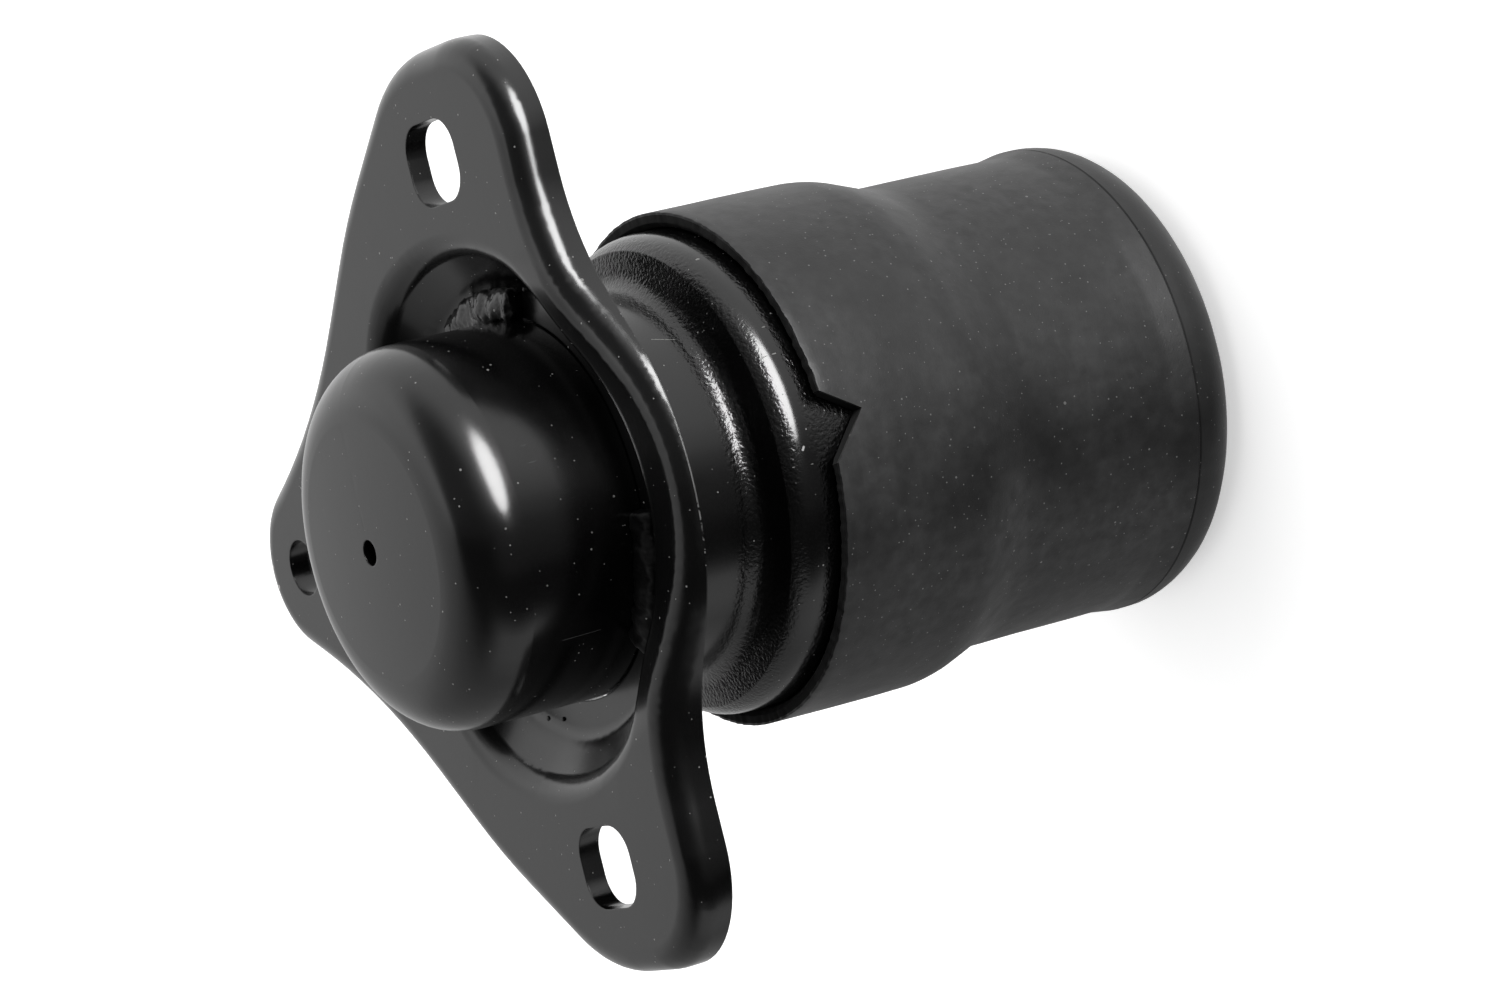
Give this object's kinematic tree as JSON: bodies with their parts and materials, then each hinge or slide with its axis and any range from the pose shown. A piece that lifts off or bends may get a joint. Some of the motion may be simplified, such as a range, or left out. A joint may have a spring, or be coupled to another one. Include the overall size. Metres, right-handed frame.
{
  "type": "engine mount",
  "caption": "Fluid-filled rubber engine mount: pressed eared flange welded to a domed steel can, with a rubber sleeve and a threaded core.",
  "frame": {"origin": "mouth of the core's thread, on the rear face", "axes": "+Z along the mount towards the dome, +X through the slotted ears, +Y towards the ear with the round hole"},
  "size_m": [0.1312, 0.1226, 0.1248],
  "materials": {
    "black_paint": "semi-gloss black paint",
    "sleeve_rubber": "matt, dusty",
    "spring_rubber": "satin moulded",
    "plain_steel": "bare turned steel",
    "core_alloy": "turned",
    "track_alloy": "die cast"
  },
  "bodies": {
    "root": {"mounting_flange": "black_paint", "weld_seam_1": "black_paint", "weld_seam_2": "black_paint", "weld_seam_3": "black_paint", "upper_can": "black_paint", "rubber_sleeve": "sleeve_rubber", "main_spring": "spring_rubber", "outer_tube": "plain_steel", "inner_core": "core_alloy", "stop_plate": "plain_steel", "stop_screw": "plain_steel", "track_seal": "spring_rubber", "track_body": "track_alloy", "decoupler": "spring_rubber", "track_cover": "track_alloy", "track_rivets": "track_alloy", "diaphragm_ring": "plain_steel", "diaphragm": "spring_rubber"}
  },
  "joints": []
}
